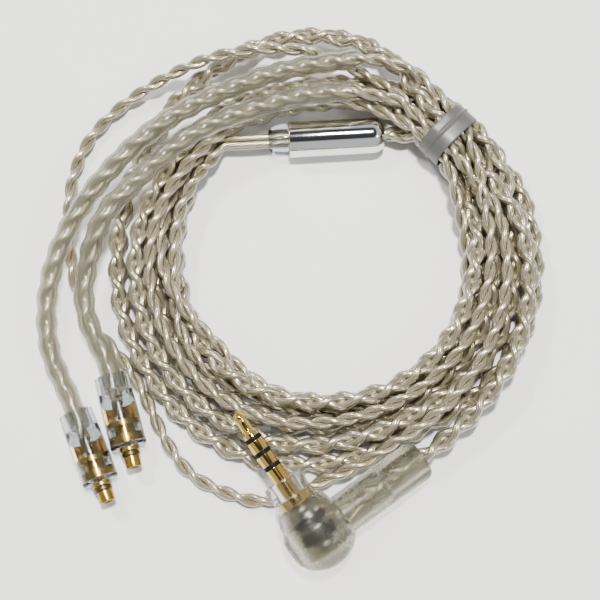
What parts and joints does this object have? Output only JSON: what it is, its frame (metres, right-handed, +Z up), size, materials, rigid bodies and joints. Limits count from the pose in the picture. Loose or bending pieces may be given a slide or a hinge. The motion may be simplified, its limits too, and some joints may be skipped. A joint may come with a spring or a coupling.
{
  "type": "in-ear monitor cable",
  "caption": "Detachable braided cable for in-ear monitors, coiled and tied, with a right-angle 2.5 mm plug, a splitter with chin slider, ear guides and push-fit connectors.",
  "frame": {"origin": "on the floor, under the middle of the hardware (plug, splitter, slider, tie, ear guides and connectors)", "axes": "+Z up, out of the flat coil; +X from the connectors towards the tie; +Y from the plug across the coil towards the splitter"},
  "size_m": [0.0758, 0.0778, 0.0098],
  "materials": {
    "cord": "silver-coloured stranded wire in a clear glossy jacket",
    "chrome": "mirror polish",
    "dark_core": "matt",
    "clear_plastic": "clear and glossy",
    "sleeve": "clear heat-shrink, slightly hazy",
    "milky_plastic": "milky, translucent, satin",
    "gold": "polished gold plate",
    "steel": "bright spring wire",
    "black_plastic": "matt",
    "white_plastic": "matt",
    "tie_plastic": "smooth, half matt",
    "tinned_metal": "tinned"
  },
  "bodies": {
    "cable": {"cable_coil": "cord", "right_pair_loop": "cord", "splitter_barrel": "chrome", "splitter_core": "dark_core", "main_cord_at_splitter": "cord", "left_pair_at_splitter": "cord", "right_pair_at_splitter": "cord", "twist_tie": "tie_plastic", "plug_housing": "milky_plastic", "plug_collar": "clear_plastic", "plug_tip": "gold", "plug_insulator_1": "black_plastic", "plug_ring_1": "gold", "plug_insulator_2": "black_plastic", "plug_ring_2": "gold", "plug_insulator_3": "black_plastic", "plug_sleeve": "gold", "plug_core": "dark_core", "main_cord_at_plug": "cord", "solder_lug_tip": "tinned_metal", "plug_wire_tip": "cord", "solder_lug_ring_1": "tinned_metal", "plug_wire_ring_1": "cord", "solder_lug_ring_2": "tinned_metal", "plug_wire_ring_2": "cord", "solder_lug_sleeve": "tinned_metal", "plug_wire_sleeve": "cord", "left_connector_shell": "clear_plastic", "left_outer_contact": "gold", "left_nose_insulator": "white_plastic", "left_centre_pin": "gold", "left_snap_ring": "steel", "left_signal_lead": "tinned_metal", "left_return_lead": "tinned_metal", "left_ear_guide": "sleeve", "left_pair_in_guide": "cord", "right_connector_shell": "clear_plastic", "right_outer_contact": "gold", "right_nose_insulator": "white_plastic", "right_centre_pin": "gold", "right_snap_ring": "steel", "right_signal_lead": "tinned_metal", "right_return_lead": "tinned_metal", "right_ear_guide": "sleeve", "right_pair_in_guide": "cord"},
    "slider": {"chin_slider": "clear_plastic"}
  },
  "joints": [
    {"name": "chin_slider_slide", "type": "slide", "parent": "cable", "child": "slider", "axis": [-0.9982, -0.0593, 0], "range_m": [0, 0.005]}
  ]
}
